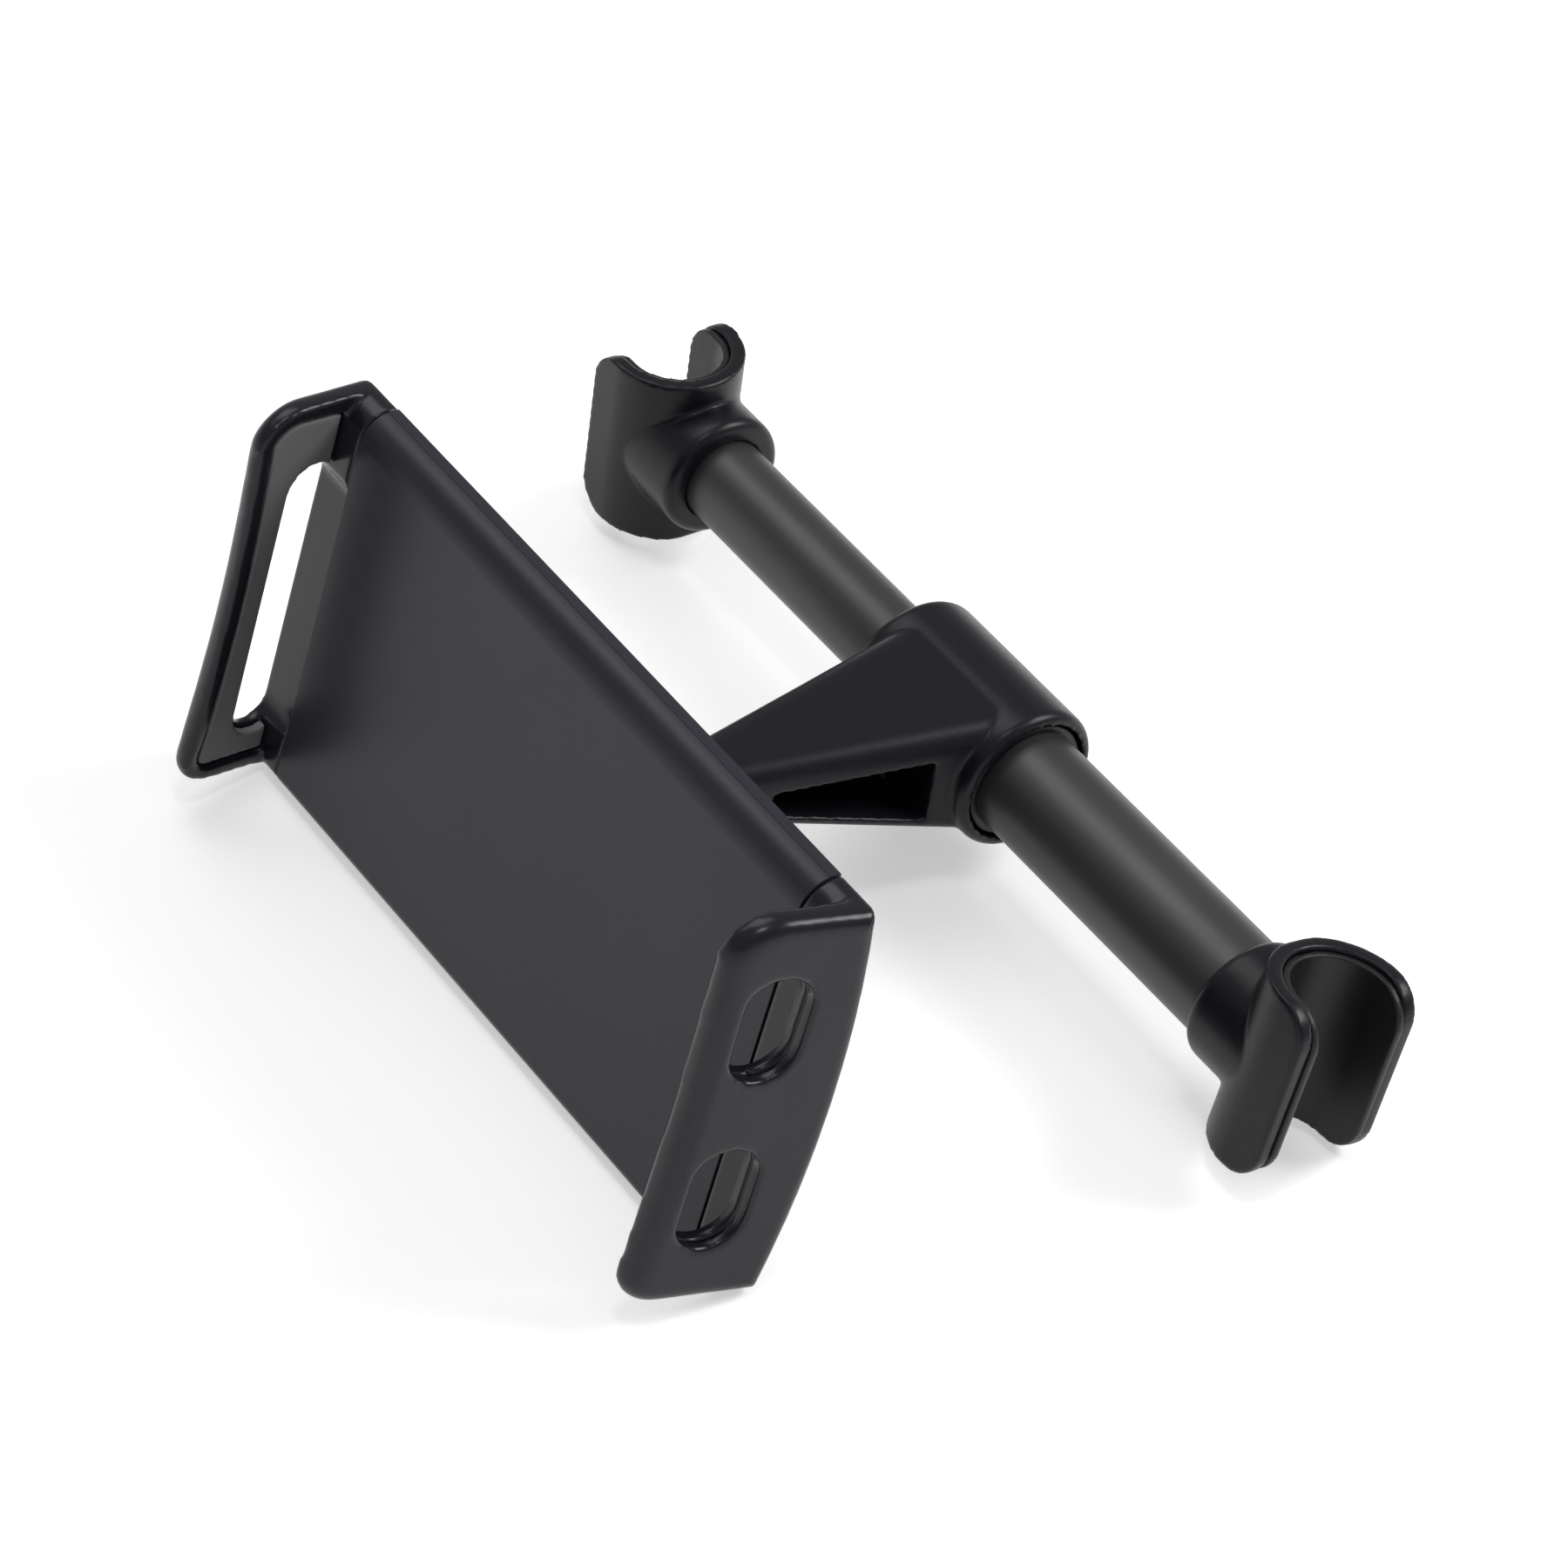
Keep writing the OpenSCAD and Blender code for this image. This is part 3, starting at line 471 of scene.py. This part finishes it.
# Rims of the right jaw's slots: the drawing's X, Y and Z lie along -y, z and the leaning x
HEAD_MIDDLE_Z = -3.3
JAW_LEAN = 0.155          # outwards for each millimetre back along y
JAW_ROOT_Y = -85.5
RIM_FOOT_X = 73.6 - 2.1   # inner end of the rim at the jaw's root
SLOT_Y = -98.4
SLOT_RISE = {"upper": 17, "lower": -17}
rim_x = RIM_FOOT_X + RIM_DEPTH / 2 + JAW_LEAN * (SLOT_Y - JAW_ROOT_Y)
rim_tree = slot_rim_tree()
for level, rise in SLOT_RISE.items():
    lean = Matrix(((-JAW_LEAN, 0, 1, rim_x * MM),
                   (-1, 0, 0, SLOT_Y * MM),
                   (0, 1, 0, (HEAD_MIDDLE_Z + rise) * MM),
                   (0, 0, 0, 1)))
    rim = grown(rim_tree, "slot_rim_" + level, lean)
    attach(rim, BODY["jaw_right"])

# Cover screws: heads towards the bar
screw_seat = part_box("cover_screws")[1][1] - SCREW_HEAD_H * MM
to_back = Matrix(((1, 0, 0, 0), (0, 0, 1, screw_seat), (0, 1, 0, HEAD_MIDDLE_Z * MM),
                  (0, 0, 0, 1)))
stands_for(grown(cover_screw_tree(), "cover_screws_crossed", to_back), "cover_screws")

# ---------------------------------------------------------------- studio
WHITE = (1, 1, 1, 1)
LAMP_AIM = Vector((0, -0.04, -0.01))
ROOM_LIGHT = 0.32
FLOOR_RADIUS = 0.60
FLOOR_FADE = (0.30, 0.58)
FLOOR_GREY = 0.85
FLOOR_LIFT = 0.47         # brings the lit floor up to white for the eye and for mirrors
FLOOR_GAP = 0.4 * MM


def soft_box(name, place, size, watts):
    """A rectangular area light that looks at the object's middle."""
    lamp = bpy.data.lights.new(name, "AREA")
    lamp.shape = "RECTANGLE"
    lamp.size, lamp.size_y = size
    lamp.energy = watts
    obj = placed(name, lamp)
    obj.location = place
    obj.rotation_mode = "QUATERNION"
    obj.rotation_quaternion = (LAMP_AIM - Vector(place)).to_track_quat("-Z", "Y")


def studio_room():
    """A grey room for light, seen as white, whose ceiling is dark to mirrors."""
    world = bpy.data.worlds.new("studio")
    bpy.context.scene.world = world
    world.use_nodes = True
    tree = world.node_tree
    tree.nodes.clear()
    around = added(tree, "ShaderNodeBackground", Color=WHITE, Strength=ROOM_LIGHT)
    shown = added(tree, "ShaderNodeBackground", Color=WHITE, Strength=1.0)
    towards = tree.nodes.new("ShaderNodeTexCoord")
    split = tree.nodes.new("ShaderNodeSeparateXYZ")
    tree.links.new(towards.outputs["Generated"], split.inputs[0])
    ceiling = ramp(tree, split.outputs["Z"], -0.10, 0.25, 1.0, 0.05, smooth=True)
    choose = tree.nodes.new("ShaderNodeMixShader")
    tree.links.new(seen(tree, ceiling), choose.inputs["Fac"])
    tree.links.new(around.outputs[0], choose.inputs[1])
    tree.links.new(shown.outputs[0], choose.inputs[2])
    out = tree.nodes.new("ShaderNodeOutputWorld")
    tree.links.new(choose.outputs[0], out.inputs["Surface"])


def floor_white():
    """A pale finish that fades out towards the floor's rim and is clear from below."""
    mat = bpy.data.materials.new("floor white")
    mat.use_nodes = True
    tree = mat.node_tree
    link = tree.links.new
    shader = tree.nodes["Principled BSDF"]
    shader.inputs["Base Color"].default_value = (FLOOR_GREY, FLOOR_GREY, FLOOR_GREY, 1)
    shader.inputs["Roughness"].default_value = 0.9
    shader.inputs["Specular IOR Level"].default_value = 0.0
    shader.inputs["Emission Color"].default_value = WHITE
    link(number(tree, "MULTIPLY", seen(tree), FLOOR_LIFT), shader.inputs["Emission Strength"])
    where = tree.nodes.new("ShaderNodeTexCoord")
    length = tree.nodes.new("ShaderNodeVectorMath")
    length.operation = "LENGTH"
    link(where.outputs["Object"], length.inputs[0])
    rim = ramp(tree, length.outputs["Value"], *FLOOR_FADE, 0.0, 1.0, smooth=True)
    under = tree.nodes.new("ShaderNodeNewGeometry").outputs["Backfacing"]
    clear = tree.nodes.new("ShaderNodeBsdfTransparent")
    fade = tree.nodes.new("ShaderNodeMixShader")
    link(number(tree, "MAXIMUM", rim, under), fade.inputs["Fac"])
    link(shader.outputs["BSDF"], fade.inputs[1])
    link(clear.outputs["BSDF"], fade.inputs[2])
    link(fade.outputs["Shader"], tree.nodes["Material Output"].inputs["Surface"])
    return mat


def studio_floor(low, high):
    """A round floor through the lower ends of the head (low) and of the hooks (high)."""
    mesh = bpy.data.meshes.new("floor")
    build = bmesh.new()
    bmesh.ops.create_circle(build, cap_ends=True, segments=96, radius=FLOOR_RADIUS)
    build.to_mesh(mesh)
    build.free()
    mesh.materials.append(floor_white())
    floor = placed("floor", mesh)
    floor.rotation_euler = (math.atan2(high.z - low.z, high.y - low.y), 0, 0)
    floor.location = (low + high) / 2 - Vector((0, 0, FLOOR_GAP))


def photo_camera(place, right, up, back, lens):
    """The photograph's camera, from its place and its three directions."""
    camera = placed("camera", bpy.data.cameras.new("camera"))
    camera.data.sensor_width = 36
    camera.data.lens = lens
    camera.data.clip_start = 0.05
    turn = Matrix((right, up, back)).transposed()
    camera.matrix_world = Matrix.Translation(place) @ turn.to_4x4()
    bpy.context.scene.camera = camera


soft_box("key", (0.42, 0.60, 0.98), (0.56, 0.46), 9.0)
soft_box("top", (-0.60, -0.22, 1.0), (0.60, 0.80), 3.6)
soft_box("front", (0.20, -0.42, 1.0), (0.16, 0.16), 1.3)
studio_room()
studio_floor(Vector((0, -0.0840, -0.0415)), Vector((0, 0.0127, -0.0177)))
photo_camera((0.5622, -0.6026, 0.5257), Vector((0.5597, 0.7907, 0.2481)),
             Vector((-0.5849, 0.1648, 0.7942)), Vector((0.5870, -0.5896, 0.5547)), 130.68)
bpy.context.scene.view_settings.view_transform = "Standard"
bpy.context.scene.view_settings.look = "None"

bpy.context.view_layer.update()
